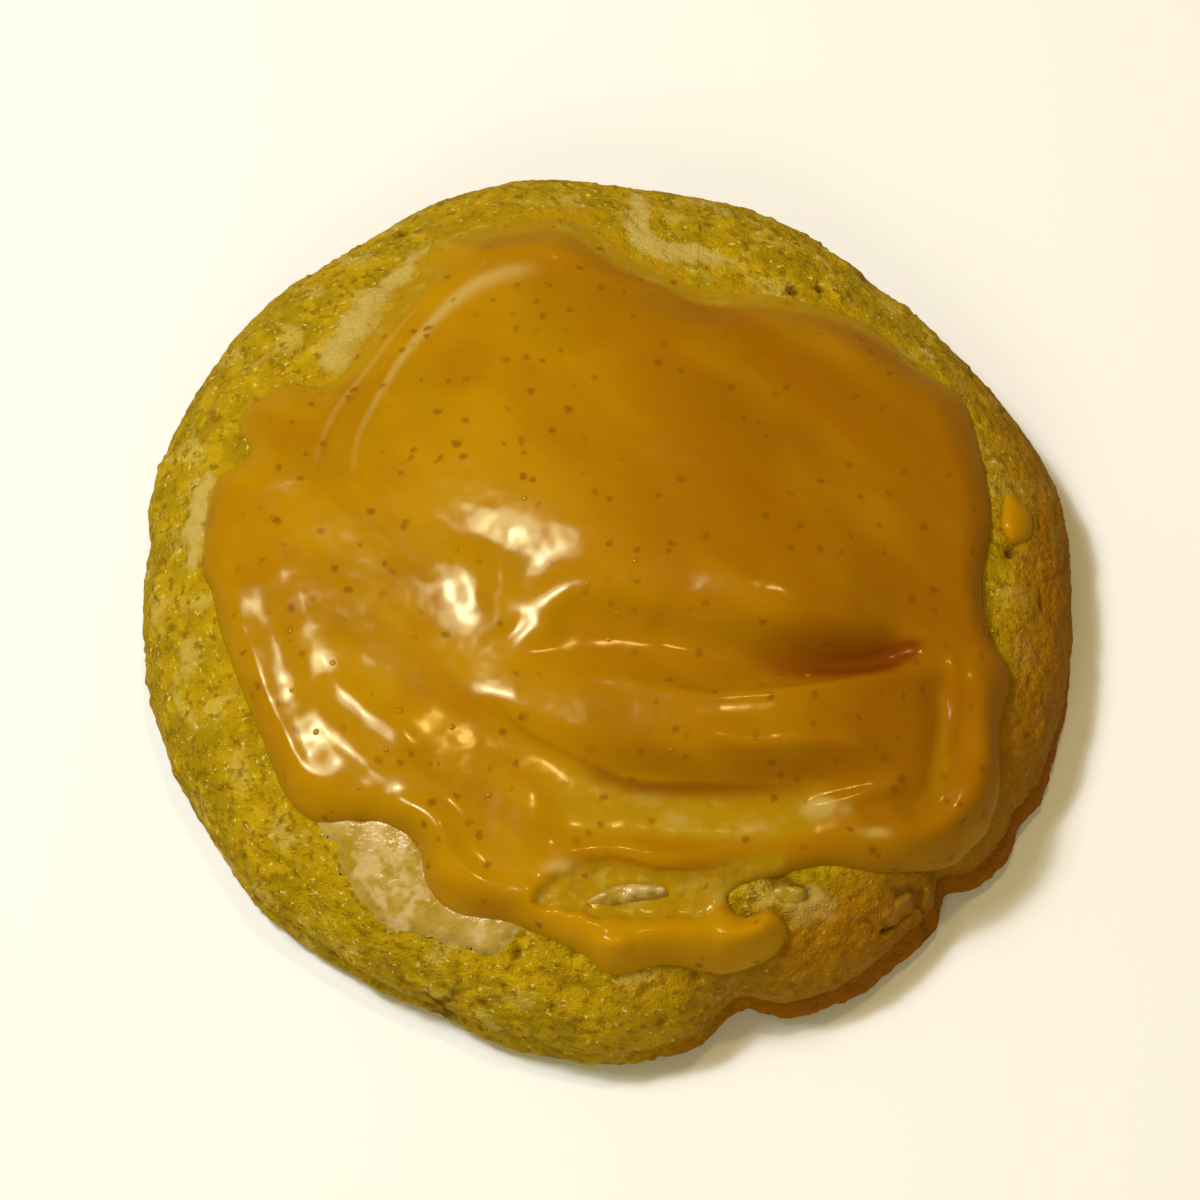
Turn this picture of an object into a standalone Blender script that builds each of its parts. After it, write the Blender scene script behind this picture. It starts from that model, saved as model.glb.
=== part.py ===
"""An iced sugar cookie: a thick, soft, hand-shaped cookie with a mound of caramel-coloured icing
spread over it in overlapping swirls, and a patch of older, paler glaze that shows in front of the icing.

Lengths are in millimetres until a mesh is made. Plan bearings run from +X towards +Y, and the
origin is at the middle of the cookie's flat underside. The side nearest the viewer is -Y.
"""

import math

import bmesh
import bpy
import numpy as np
from mathutils import Vector, noise

MM = 0.001
GAP = 0.3
SIDE_GAP = 0.45
EDGE_HEIGHT = 0.5

# The cookie
COOKIE_WIDTH = 86.0
BELLY_HEIGHT = 4.5
CROWN_HEIGHT = 17.0
CROWN_ROUNDING = 3.5
# Radii of the rim at every 15 degrees, hand-shaped and so uneven
RIM_RADII = (
    43.0, 43.5, 42.2, 41.5, 42.5, 43.0, 43.5, 45.0, 44.0, 44.5, 44.5, 44.0,
    43.0, 43.0, 42.5, 42.5, 42.0, 42.5, 43.5, 42.0, 42.5, 42.0, 43.0, 43.0,
)
# Bearing and half width in degrees, and depth: where the rim is split or pinched
RIM_NOTCHES = (
    (287, 4.2, 2.0), (318, 2.6, 1.8), (331, 2.5, 0.8), (248, 5.0, 0.6), (51, 2.5, 0.5), (172, 2.5, 0.4),
)
# How far the flattened foot spreads past the belly, and the depth of the crease above it, at every 45 degrees
FOOT_SPREAD = (0.4, 0.1, 0.0, 0.0, 0.0, 0.1, 0.2, 1.0)
CREASE_DEPTH = (0.5, 0.2, 0.1, 0.1, 0.2, 0.35, 0.3, 0.8)
FOOT_HEIGHT = 1.4
FOOT_SPAN = 1.1
CREASE_HEIGHT = 3.4
CREASE_SPAN = 0.6
CREASE_WANDER = 1.2
# Height and inset of the wall's outline, from the belly down to the underside
WALL = ((3.9, 0.1), (3.4, 0.2), (2.8, 0.2), (2.1, 0.1), (1.4, 0.1), (0.7, 0.4), (0.2, 1.0), (0.0, 1.8))
# How much of the underside's radius its two inner rings take
UNDERSIDE_RINGS = (0.86, 0.5)
# Lumps of the dough: amplitude and size
LUMPS = 0.35
LUMP_SIZE = 9.0
CRAGS = 0.22
CRAG_SIZE = 3.0
# Splits in the crust: depth, half width and the line each one follows
CRUST_SPLITS = (
    (0.9, 0.7, ((24.0, -31.0), (27.5, -29.5), (29.0, -31.5), (32.5, -29.0))),
    (0.7, 0.6, ((-7.0, -38.0), (-4.0, -38.8), (0.0, -40.0))),
    (0.45, 0.5, ((-20.0, -36.5), (-15.0, -38.8), (-8.0, -40.5))),
    (0.9, 0.8, ((35.5, 4.0), (38.0, 3.0), (40.5, 1.5))),
    (0.8, 0.7, ((13.5, -30.8), (16.0, -30.5), (18.5, -32.0))),
)
# The share of a split or of a knife stroke over which it fades out at either end
SPLIT_FADE = 0.2
STROKE_FADE = 0.15

# The icing: its edge in stretches, from the left by the front and the right to the back
LEFT_EDGE = ((-37.0, 0.5), (-36.0, -2.5), (-35.0, -6.5), (-33.0, -12.0), (-30.5, -18.0), (-28.5, -22.5))
FRONT_LEFT_EDGE = (
    (-25.5, -25.0), (-20.5, -25.5), (-17.0, -27.5), (-16.0, -31.0), (-13.5, -33.5), (-8.0, -34.7),
)
TAIL_OUTER_EDGE = ((-2.5, -37.0), (0.5, -38.8), (5.0, -37.8), (10.0, -38.0), (14.5, -36.5), (15.8, -34.5))
TAIL_INNER_EDGE = ((14.3, -33.0), (12.0, -33.8), (10.6, -32.5), (11.5, -31.3), (15.5, -30.0), (19.5, -29.0))
RIGHT_LOBE_EDGE = ((24.5, -29.0), (30.0, -27.5), (33.5, -25.0), (35.3, -20.5), (35.4, -15.5), (36.4, -10.5))
RIGHT_EDGE = (
    (34.5, -7.0), (34.0, -2.0), (35.1, 5.0), (34.2, 12.5), (33.0, 17.5), (28.5, 21.0), (24.0, 25.0),
)
BACK_EDGE = ((17.0, 27.0), (10.0, 27.5), (6.0, 29.5), (2.0, 32.0), (-3.0, 36.5), (-10.0, 36.0), (-16.0, 34.5))
BACK_LEFT_EDGE = (
    (-17.5, 30.0), (-21.5, 24.0), (-25.5, 17.7), (-30.0, 18.2), (-34.0, 15.0), (-33.0, 11.0), (-36.3, 8.0),
)
ICING_EDGE = (
    LEFT_EDGE + FRONT_LEFT_EDGE + TAIL_OUTER_EDGE + TAIL_INNER_EDGE
    + RIGHT_LOBE_EDGE + RIGHT_EDGE + BACK_EDGE + BACK_LEFT_EDGE
)
# How wide the icing's rounded edge is, and how far it is smeared to a wedge instead, at every 45 degrees
EDGE_ROUNDINGS = (2.4, 5.5, 7.0, 5.0, 2.0, 1.8, 1.8, 2.4)
EDGE_SMEARS = (0.1, 0.7, 1.0, 0.8, 0.1, 0.0, 0.0, 0.0)
RIM_CLEARANCE = 1.0
OVERHANG = 1.2
ICING_THICKNESS = 1.7
THINNEST_ICING = 0.75
THINNEST_SOFTNESS = 0.4
# Broad mounds of the icing: height, middle in plan and reach
MOUNDS = ((2.9, (3.0, 9.0), (15.5, 14.0)), (2.2, (15.5, -2.5), (12.0, 8.0)))
# Strokes of the palette knife. Each has its heights from one end to the other (less than nothing is a
# furrow), its widths on the left and on the right of its line, and the line it follows.
STROKES = {
    "top layer lip": (
        (0.15, 0.45, 0.7, 0.9, 1.3, 1.5, 1.2), (4.0, 4.5, 5.0, 5.0, 5.0, 4.5, 3.5),
        (6.0, 6.0, 5.0, 3.8, 2.8, 2.2, 2.0),
        ((-14.5, 1.5), (-8.5, 2.4), (-1.5, -1.0), (5.0, -4.4), (11.0, -6.8), (17.0, -8.0), (22.0, -8.2),
         (27.0, -7.6)),
    ),
    "curl rim": (
        (0.15, 0.45, 0.5, 0.2), 2.4, 3.0,
        ((-10.0, -10.0), (-12.2, -6.5), (-13.0, -3.0), (-12.2, 0.5)),
    ),
    "fold below the lip": (
        (-0.2, -0.8, -1.6, -2.4, -2.2), 1.6, (3.0, 2.6, 2.2, 1.8, 1.5),
        ((-2.0, -5.5), (4.0, -8.8), (10.0, -10.7), (16.5, -11.5), (22.5, -11.2), (26.0, -9.9),
         (28.5, -8.0)),
    ),
    "inner curl": (
        (0.5, 0.9, 0.5), 2.6, 1.6,
        ((-5.0, -11.0), (-5.6, -7.5), (-2.6, -5.6), (1.6, -6.9), (5.5, -9.0)),
    ),
    "second layer crest": (
        (0.2, 0.6, 1.0, 1.3, 1.3, 1.1), 2.0, 3.2,
        ((-13.5, -8.5), (-10.7, -10.7), (-5.0, -13.3), (1.2, -14.2), (8.7, -16.0), (16.5, -15.4),
         (24.5, -13.4), (29.3, -12.1)),
    ),
    "third layer lip": (
        (0.1, 0.7, 1.4, 1.6, 1.2), 4.5, 1.8,
        ((-14.5, -12.5), (-6.0, -17.1), (0.0, -18.8), (8.1, -19.9), (17.6, -19.5), (23.0, -19.6),
         (26.2, -22.0)),
    ),
    "furrow below the third": (
        (-0.4, -0.9, -1.1, -0.6), 1.6, 3.6,
        ((-15.5, -13.5), (-11.0, -17.0), (-5.1, -20.0), (-0.7, -22.2), (6.0, -23.2), (14.0, -23.2),
         (21.4, -22.3), (25.0, -23.5)),
    ),
    "thin front": (
        (-0.7, -1.0, -0.8), 3.0, 2.6,
        ((-7.0, -26.0), (0.0, -26.5), (8.0, -26.5), (15.0, -26.0), (21.0, -25.5)),
    ),
    "front film": (
        (-1.4, -1.7, -1.4), 2.2, 1.8,
        ((-4.0, -31.5), (1.0, -32.3), (6.0, -32.5), (10.0, -31.5), (17.0, -29.5)),
    ),
    "tail": (
        (0.5, 0.8, 0.7), 1.6, 1.5,
        ((-9.0, -32.0), (-4.0, -34.0), (0.6, -36.8), (5.0, -36.4), (10.0, -36.2), (13.3, -35.2),
         (15.0, -33.4)),
    ),
    "right lobe": (
        (1.0, 0.8, 1.0, 0.8), 1.6, 1.8,
        ((31.5, -9.5), (33.3, -12.5), (34.0, -17.5), (33.0, -22.5), (29.5, -26.0), (23.5, -27.5)),
    ),
    "right lobe groove": (
        (-0.9, -1.0, -0.6), 1.6, 1.6,
        ((29.0, -11.5), (30.0, -15.5), (29.6, -19.7), (28.5, -23.0), (25.0, -25.3)),
    ),
    "left lip": (
        (0.25, 0.3, 0.45), 2.0, 1.5,
        ((-35.4, 1.0), (-33.9, -4.0), (-32.0, -9.5), (-30.0, -15.0), (-27.2, -21.0), (-22.5, -24.0)),
    ),
    "left furrow": (
        (-0.15, -0.2, -0.2), 2.2, 2.2,
        ((-34.0, 4.0), (-31.6, -3.5), (-29.3, -10.0), (-26.5, -16.0), (-22.0, -20.5)),
    ),
    "left ridge": (
        (0.2, 0.3, 0.45), 3.2, 2.6,
        ((-32.5, 5.0), (-30.0, -2.0), (-27.0, -9.0), (-24.2, -14.0), (-19.5, -18.3), (-16.0, -22.5)),
    ),
    "back groove": (
        (-0.4, -0.6, -0.7, -0.6, -0.3), 1.8, 2.4,
        ((-25.0, 3.0), (-23.3, 8.0), (-21.2, 14.3), (-17.3, 21.6), (-13.0, 26.0), (-4.4, 27.6), (3.0, 26.0),
         (12.0, 23.8), (21.4, 20.3)),
    ),
    "back rim": (
        (0.3, 0.5, 0.3), 1.8, 1.5,
        ((-22.5, 17.0), (-17.0, 26.0), (-12.0, 30.2), (-4.0, 30.6), (4.0, 28.0), (12.0, 26.0)),
    ),
    "mound edge": (
        (0.3, 0.5, 0.5, 0.3), 0.6, 3.5,
        ((-21.5, 12.0), (-18.5, 19.0), (-14.3, 25.0), (-8.8, 28.1), (0.4, 27.8), (8.6, 25.6), (15.2, 23.8),
         (19.5, 20.0)),
    ),
    "front left bead": (
        (0.4, 0.8, 0.9, 0.6), 1.5, 1.5,
        ((-21.0, -24.3), (-15.8, -26.0), (-13.8, -30.0), (-10.5, -32.5), (-5.0, -33.5)),
    ),
    "front step": (
        (0.3, 0.5, 0.5, 0.4), 1.8, 0.4,
        ((-6.0, -29.8), (0.4, -29.1), (4.5, -29.9), (8.5, -29.7), (12.0, -28.8), (17.0, -28.0)),
    ),
    "crown furrow": ((-0.15, -0.3, -0.2), 3.2, 3.2, ((-2.5, 14.5), (2.0, 9.5), (5.5, 4.0), (8.0, -1.5))),
    "right furrow": ((-0.3, -0.5, -0.3), 3.4, 3.4, ((11.0, 19.0), (15.5, 14.5), (20.5, 9.5), (27.0, 5.0))),
}

# The pale glaze: its thickness over the crust and its edge
GLAZE_THICKNESS = 0.7
GLAZE_ROUNDING = 0.8
GLAZE_EDGE = (
    (-26.0, -24.0), (-24.0, -28.5), (-22.4, -31.7), (-19.5, -34.2), (-16.0, -35.2), (-13.0, -36.4),
    (-9.5, -37.3), (-8.0, -35.8), (-5.0, -35.5), (-7.0, -32.0), (-14.0, -30.0), (-18.0, -25.0),
)


def around(values, bearing):
    """The value at a bearing, in radians, on a smooth closed curve through evenly spaced values."""
    table = np.asarray(values, float)
    at = np.asarray(bearing, float) / (2 * math.pi) * len(table)
    whole = np.floor(at).astype(int)
    t = at - whole
    before, here, after, beyond = (table[(whole + k) % len(table)] for k in (-1, 0, 1, 2))
    curve = 2 * before - 5 * here + 4 * after - beyond + t * (3 * (here - after) + beyond - before)
    return here + 0.5 * t * (after - before + t * curve)


def rim_radius(bearing):
    """Plan radius of the rim at a bearing in radians, its notches left out."""
    return around(RIM_RADII, bearing)


def notch_depth(bearing):
    """How far the rim is pinched in at a bearing in radians."""
    total = np.zeros(np.shape(bearing))
    for centre, half_width, depth in RIM_NOTCHES:
        turn = (np.degrees(bearing) - centre + 180) % 360 - 180
        total = total + depth * np.exp(-((turn / half_width) ** 2))
    return total


def crown(x, y, wider=0.0):
    """Height of the cookie's domed top over a point in plan, or of a dome whose rim lies further out."""
    share = np.minimum(np.hypot(x, y) / (rim_radius(np.arctan2(y, x)) + wider), 1.0)
    return BELLY_HEIGHT + (CROWN_HEIGHT - BELLY_HEIGHT) * np.sqrt(1 - share**CROWN_ROUNDING)


def smooth_line(points, closed=False, per_span=8):
    """The points of a smooth curve through the given ones."""
    p = np.asarray(points, float)
    if closed:
        p = np.vstack([p[-1], p, p[:2]])
    else:
        p = np.vstack([2 * p[0] - p[1], p, 2 * p[-1] - p[-2]])
    t = np.linspace(0, 1, per_span, endpoint=False)[:, None]
    spans = []
    for a, b, c, d in zip(p, p[1:], p[2:], p[3:]):
        spans.append(b + 0.5 * t * (c - a + t * (2 * a - 5 * b + 4 * c - d + t * (3 * (b - c) + d - a))))
    line = np.vstack(spans)
    return line if closed else np.vstack([line, p[-2]])


def nearest(line, x, y):
    """How far each point is from a line, on its left or not, and its place along the line from 0 to 1."""
    steps = np.hypot(*np.diff(line, axis=0).T)
    begins = np.concatenate([[0], np.cumsum(steps)])
    best = np.full(np.shape(x), np.inf)
    left = np.zeros(np.shape(x), bool)
    place = np.zeros(np.shape(x))
    for (ax, ay), (bx, by), step, begin in zip(line, line[1:], steps, begins):
        dx, dy = (bx - ax) / step, (by - ay) / step
        run = np.clip((x - ax) * dx + (y - ay) * dy, 0, step)
        away = np.hypot(x - ax - run * dx, y - ay - run * dy)
        closer = away < best
        best = np.where(closer, away, best)
        left = np.where(closer, dx * (y - ay) - dy * (x - ax) > 0, left)
        place = np.where(closer, (begin + run) / begins[-1], place)
    return best, left, place


def inside_by(edge, x, y):
    """How far inside a closed edge each point is; less than nothing outside it."""
    line = smooth_line(edge, closed=True)
    line = np.vstack([line, line[0]])
    away, _, _ = nearest(line, x, y)
    crossings = np.zeros(np.shape(x), int)
    for (ax, ay), (bx, by) in zip(line, line[1:]):
        spans = (ay > y) != (by > y)
        level = np.divide((y - ay) * (bx - ax), by - ay, out=np.zeros(np.shape(x)), where=spans)
        crossings += spans & (x < ax + level)
    return np.where(crossings % 2 == 1, away, -away)


def ease(t):
    """From 0 to 1 with no sharp bend at either end."""
    t = np.clip(t, 0, 1)
    return t * t * (3 - 2 * t)


def fade(place, share):
    """From 0 at either end of a line to 1 beyond a share of its length."""
    return ease(place / share) * ease((1 - place) / share)


def along(values, place):
    """The value at a place from 0 to 1 on a smooth curve through evenly spaced values, or the one value."""
    if isinstance(values, float):
        return values
    curve = smooth_line([(k / (len(values) - 1), value) for k, value in enumerate(values)])
    return np.interp(place, curve[:, 0], curve[:, 1])


def stroke_height(stroke, x, y):
    """What one stroke of the knife adds to the icing's thickness."""
    heights, left_widths, right_widths, points = stroke
    away, left, place = nearest(smooth_line(points), x, y)
    width = np.where(left, along(left_widths, place), along(right_widths, place))
    return along(heights, place) * np.exp(-((away / width) ** 2)) * fade(place, STROKE_FADE)


def rounded_edge(full, inside, rounding, smeared=0.0):
    """A height above the crust that rises from a low edge, as a quarter round or, where smeared, a wedge."""
    within = np.clip(inside / rounding, 0, 1)
    quarter_round = np.sqrt(1 - (1 - within) ** 2)
    return EDGE_HEIGHT + (full - EDGE_HEIGHT) * (quarter_round + smeared * (ease(within) - quarter_round))


def icing_thickness(x, y, inside):
    """How high the icing stands over the crown."""
    thickness = ICING_THICKNESS
    for height, middle, reach in MOUNDS:
        away = ((x - middle[0]) / reach[0]) ** 2 + ((y - middle[1]) / reach[1]) ** 2
        thickness = thickness + height * np.exp(-away)
    for stroke in STROKES.values():
        thickness = thickness + stroke_height(stroke, x, y)
    excess = (thickness - THINNEST_ICING) / THINNEST_SOFTNESS
    thickness = THINNEST_ICING + THINNEST_SOFTNESS * np.logaddexp(0, excess)
    thickness = thickness + crown(x, y, wider=OVERHANG) - crown(x, y)
    bearing = np.arctan2(y, x)
    smeared = np.clip(around(EDGE_SMEARS, bearing), 0, 1)
    return rounded_edge(thickness, inside, around(EDGE_ROUNDINGS, bearing), smeared)


def inside_icing(x, y):
    """How far a point in plan is inside the icing's edge, which stays on the cookie."""
    within_rim = rim_radius(np.arctan2(y, x)) - np.hypot(x, y) - RIM_CLEARANCE
    return np.minimum(inside_by(ICING_EDGE, x, y), within_rim)


def inside_glaze(x, y):
    """How far a point in plan is inside the glaze patch, which stops short of the icing beside it."""
    return np.minimum(inside_by(GLAZE_EDGE, x, y), -SIDE_GAP - inside_icing(x, y))


def glaze_thickness(x, y, inside):
    """How high the glaze patch stands over the crown."""
    return rounded_edge(GLAZE_THICKNESS + GAP, inside, GLAZE_ROUNDING)


def crust_profile(rings):
    """Half outline of the cookie, as radius and height, from the middle of the top to the underside's."""
    radius = COOKIE_WIDTH / 2
    outline = []
    for k in range(rings + 1):
        turn = 0.5 * math.pi * k / rings
        share = math.sin(turn) ** (2 / CROWN_ROUNDING)
        outline.append((radius * share, BELLY_HEIGHT + (CROWN_HEIGHT - BELLY_HEIGHT) * math.cos(turn)))
    for height, inset in WALL:
        outline.append((radius - inset, height))
    for ring in UNDERSIDE_RINGS:
        outline.append((radius * ring, 0.0))
    outline.append((0.0, 0.0))
    return outline


def crust_relief(x, y, z):
    """Lumps, crags and splits of the crust: how far its surface stands out at a point."""
    place = Vector((x, y, z))
    out = LUMPS * noise.noise(place / LUMP_SIZE)
    out += CRAGS * noise.turbulence(place / CRAG_SIZE, 2, False)
    return out


def shape_crust(mesh):
    """Turns a plain turned cookie into the uneven hand-shaped one."""
    points = np.array([v.co for v in mesh.verts])
    x, y, z = points.T
    bearing = np.arctan2(y, x)
    radius = np.hypot(x, y)
    share = radius / (COOKIE_WIDTH / 2)
    wall = ease((share - 0.9) / 0.05)
    foot = around(FOOT_SPREAD, bearing) * np.exp(-(((z - FOOT_HEIGHT) / FOOT_SPAN) ** 2))
    wander = np.array([noise.noise(Vector((3 * math.cos(b), 3 * math.sin(b), 0))) for b in bearing])
    above_crease = z - CREASE_HEIGHT - CREASE_WANDER * wander
    crease = around(CREASE_DEPTH, bearing) * np.exp(-((above_crease / CREASE_SPAN) ** 2))
    notch = notch_depth(bearing) * ease((share - 0.85) / 0.15)
    radius = share * rim_radius(bearing) + wall * (foot - crease) - notch
    x, y = radius * np.cos(bearing), radius * np.sin(bearing)
    clear = ease(z / 1.5)
    for edge in (ICING_EDGE, GLAZE_EDGE):
        clear = clear * ease(-inside_by(edge, x, y) / 1.5)
    sunk = np.zeros(len(x))
    for depth, half_width, points in CRUST_SPLITS:
        away, _, place = nearest(smooth_line(points), x, y)
        sunk = sunk + depth * np.exp(-((away / half_width) ** 2)) * fade(place, SPLIT_FADE)
    mesh.normal_update()
    for vertex, px, py, pz, bare, split in zip(mesh.verts, x, y, z, clear, sunk):
        push = vertex.normal * bare * crust_relief(px, py, pz)
        drop = split * bare * ease((pz - BELLY_HEIGHT) / 3)
        vertex.co = Vector((px, py, pz - drop)) + push


def finish(mesh, name, colour, roughness):
    """Makes a named object in metres, with its own material, from a mesh in millimetres."""
    bmesh.ops.scale(mesh, vec=(MM, MM, MM), verts=mesh.verts)
    bmesh.ops.recalc_face_normals(mesh, faces=mesh.faces)
    data = bpy.data.meshes.new(name)
    mesh.to_mesh(data)
    mesh.free()
    data.shade_smooth()
    made = bpy.data.objects.new(name, data)
    bpy.context.scene.collection.objects.link(made)
    material = bpy.data.materials.new(name)
    material.use_nodes = True
    surface = material.node_tree.nodes["Principled BSDF"]
    surface.inputs["Base Color"].default_value = (*colour, 1.0)
    surface.inputs["Roughness"].default_value = roughness
    surface.inputs["Metallic"].default_value = 0.0
    data.materials.append(material)
    return made


def make_cookie():
    """The cookie: a profile turned about the middle, then shaped by hand."""
    mesh = bmesh.new()
    outline = [mesh.verts.new((r, 0, z)) for r, z in crust_profile(rings=14)]
    for upper, lower in zip(outline, outline[1:]):
        mesh.edges.new((upper, lower))
    bmesh.ops.spin(
        mesh, geom=mesh.verts[:] + mesh.edges[:], cent=(0, 0, 0), axis=(0, 0, 1),
        angle=2 * math.pi, steps=108, use_merge=True,
    )
    bmesh.ops.remove_doubles(mesh, verts=mesh.verts, dist=0.001)
    shape_crust(mesh)
    return finish(mesh, "cookie", (0.38, 0.21, 0.01), 0.75)


def onto_the_edge(x, y, inside_at):
    """Moves points that lie outside an edge straight onto it, and leaves the others."""
    step = 0.05
    outside = inside_at(x, y) < 0
    for _ in range(2):
        px, py = x[outside], y[outside]
        slope_x = (inside_at(px + step, py) - inside_at(px - step, py)) / (2 * step)
        slope_y = (inside_at(px, py + step) - inside_at(px, py - step)) / (2 * step)
        shift = np.maximum(-inside_at(px, py), 0)
        x[outside], y[outside] = px + shift * slope_x, py + shift * slope_y
    return x, y


def plan_of(mesh):
    """The plan places of a mesh's points, as two arrays."""
    return np.array([v.co[:2] for v in mesh.verts]).T


def make_layer(name, inside_at, thickness_at, spacing, colour, roughness):
    """A layer on the cookie: a sheet cut to its edge, its top shaped and its underside just off the crust."""
    half = COOKIE_WIDTH / 2
    count = round(COOKIE_WIDTH / spacing)
    mesh = bmesh.new()
    bmesh.ops.create_grid(mesh, x_segments=count, y_segments=count, size=half)
    kept = {v for v, inside in zip(mesh.verts, inside_at(*plan_of(mesh))) if inside > 0}
    outside = [f for f in mesh.faces if not kept.intersection(f.verts)]
    bmesh.ops.delete(mesh, geom=outside, context="FACES")
    x, y = onto_the_edge(*plan_of(mesh), inside_at)
    for vertex, px, py in zip(mesh.verts, x, y):
        vertex.co = (px, py, 0)
    bmesh.ops.remove_doubles(mesh, verts=mesh.verts, dist=0.05 * spacing)
    upper = set(mesh.verts)
    bmesh.ops.solidify(mesh, geom=mesh.faces[:], thickness=1.0)
    x, y = plan_of(mesh)
    height = crown(x, y)
    thickness = thickness_at(x, y, inside_at(x, y))
    for vertex, px, py, level, above in zip(mesh.verts, x, y, height, thickness):
        vertex.co = (px, py, level + (above if vertex in upper else GAP))
    return finish(mesh, name, colour, roughness)


def thin_out(piece, keep):
    """Drops the triangles that a piece's shape doesn't need."""
    modifier = piece.modifiers.new("fewer faces", "DECIMATE")
    modifier.ratio = keep


def main():
    for old in list(bpy.data.objects):
        bpy.data.objects.remove(old)
    make_cookie()
    icing = make_layer("icing", inside_icing, icing_thickness, 1.0, (0.42, 0.18, 0.005), 0.2)
    thin_out(icing, keep=0.42)
    glaze = make_layer("glaze", inside_glaze, glaze_thickness, 0.7, (0.45, 0.29, 0.06), 0.5)
    thin_out(glaze, keep=0.6)


main()
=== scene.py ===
import math

import bmesh
import bpy
import numpy as np
from mathutils import Matrix, Vector, noise
from mathutils.bvhtree import BVHTree


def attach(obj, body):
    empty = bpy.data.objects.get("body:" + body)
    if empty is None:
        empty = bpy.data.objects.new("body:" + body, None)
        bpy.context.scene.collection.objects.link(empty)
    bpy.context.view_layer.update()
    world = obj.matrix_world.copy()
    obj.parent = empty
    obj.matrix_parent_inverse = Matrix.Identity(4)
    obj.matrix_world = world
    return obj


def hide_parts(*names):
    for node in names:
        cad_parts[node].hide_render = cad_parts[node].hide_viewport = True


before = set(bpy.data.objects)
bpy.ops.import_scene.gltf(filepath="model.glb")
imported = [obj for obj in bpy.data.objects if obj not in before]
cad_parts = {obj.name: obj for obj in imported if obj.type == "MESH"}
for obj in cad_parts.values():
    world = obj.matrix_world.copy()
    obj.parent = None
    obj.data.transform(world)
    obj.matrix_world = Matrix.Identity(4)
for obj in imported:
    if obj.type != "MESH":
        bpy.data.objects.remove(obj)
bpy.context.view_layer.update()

scene = bpy.context.scene

# The camera looks down on the cookie from the front, as a person at the table does.
# A soft window light with a brighter pane stands on the left, a small warm lamp hangs behind, and a
# dim fill stands in front. The cookie lies on a pale, matt table top.
MM = 0.001
LOOK_DOWN = math.radians(66)
AIM = Vector((-0.7, 0.13, 5.47)) * MM
AIM_DISTANCE = 416.7 * MM
camera = bpy.data.objects.new("camera", bpy.data.cameras.new("camera"))
camera.data.lens = 135
camera.data.sensor_width = 36
camera.data.clip_start = 10 * MM
camera.rotation_euler = (math.pi / 2 - LOOK_DOWN, 0, 0)
camera.location = AIM - AIM_DISTANCE * Vector((0, math.cos(LOOK_DOWN), -math.sin(LOOK_DOWN)))
scene.collection.objects.link(camera)
scene.camera = camera
scene.view_settings.view_transform = "Standard"


def hang_light(name, bearing, elevation, distance, width, height, watts, colour):
    """Hangs a rectangular light round the cookie, turned to face it; angles are in degrees."""
    lamp = bpy.data.lights.new(name, "AREA")
    lamp.shape = "RECTANGLE"
    lamp.size = width
    lamp.size_y = height
    lamp.energy = watts
    lamp.color = colour
    holder = bpy.data.objects.new(name, lamp)
    across = math.cos(math.radians(elevation))
    away = Vector((across * math.cos(math.radians(bearing)), across * math.sin(math.radians(bearing)),
                   math.sin(math.radians(elevation))))
    holder.location = AIM + distance * away
    holder.rotation_euler = away.to_track_quat("Z", "Y").to_euler()
    scene.collection.objects.link(holder)
    return holder


hang_light("window softbox", 160, 64, 0.60, 0.18, 0.14, 2.0, (1.0, 0.94, 0.82))
hang_light("window pane", 159, 65, 0.59, 0.06, 0.045, 1.0, (1.0, 0.96, 0.88))
hang_light("warm lamp", 75, 76, 0.70, 0.05, 0.04, 0.9, (1.0, 0.65, 0.25))
front_fill = hang_light("front fill", 262, 38, 0.80, 0.40, 0.30, 1.6, (1.0, 0.86, 0.5))
front_fill.visible_glossy = False

world = bpy.data.worlds.new("room light")
world.use_nodes = True
world.node_tree.nodes["Background"].inputs["Color"].default_value = (1.0, 0.80, 0.22, 1.0)
world.node_tree.nodes["Background"].inputs["Strength"].default_value = 0.26
scene.world = world


def blank_material(name, roughness):
    """A new material, with its node tree and its shader."""
    material = bpy.data.materials.new(name)
    material.use_nodes = True
    shader = material.node_tree.nodes["Principled BSDF"]
    shader.inputs["Roughness"].default_value = roughness
    return material, material.node_tree, shader


def place_piece(mesh, name, material):
    """Turns a bmesh in millimetres into a smooth-shaded object in metres at the origin."""
    bmesh.ops.scale(mesh, vec=(MM, MM, MM), verts=mesh.verts)
    data = bpy.data.meshes.new(name)
    mesh.to_mesh(data)
    mesh.free()
    data.shade_smooth()
    data.materials.append(material)
    piece = bpy.data.objects.new(name, data)
    scene.collection.objects.link(piece)
    return piece


TABLE_REACH = 1500.0
table_mesh = bmesh.new()
bmesh.ops.create_grid(table_mesh, x_segments=1, y_segments=1, size=TABLE_REACH)
table_finish, _, table_shader = blank_material("table top", 0.8)
table_shader.inputs["Base Color"].default_value = (0.80, 0.85, 1.0, 1.0)
table_top = place_piece(table_mesh, "table_top", table_finish)
table_top.visible_glossy = False

# The cookie is one thick round of soft sugar dough, pressed flat by hand and baked.
# Its crown is domed, its rim uneven and split in places, and its foot spread on the baking sheet.
# The crust is dry, mustard yellow and finely crumbed, and browner towards the foot.
COOKIE_WIDTH = 86.0
BELLY_HEIGHT = 4.5
CROWN_HEIGHT = 17.0
CROWN_ROUNDING = 3.5
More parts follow.
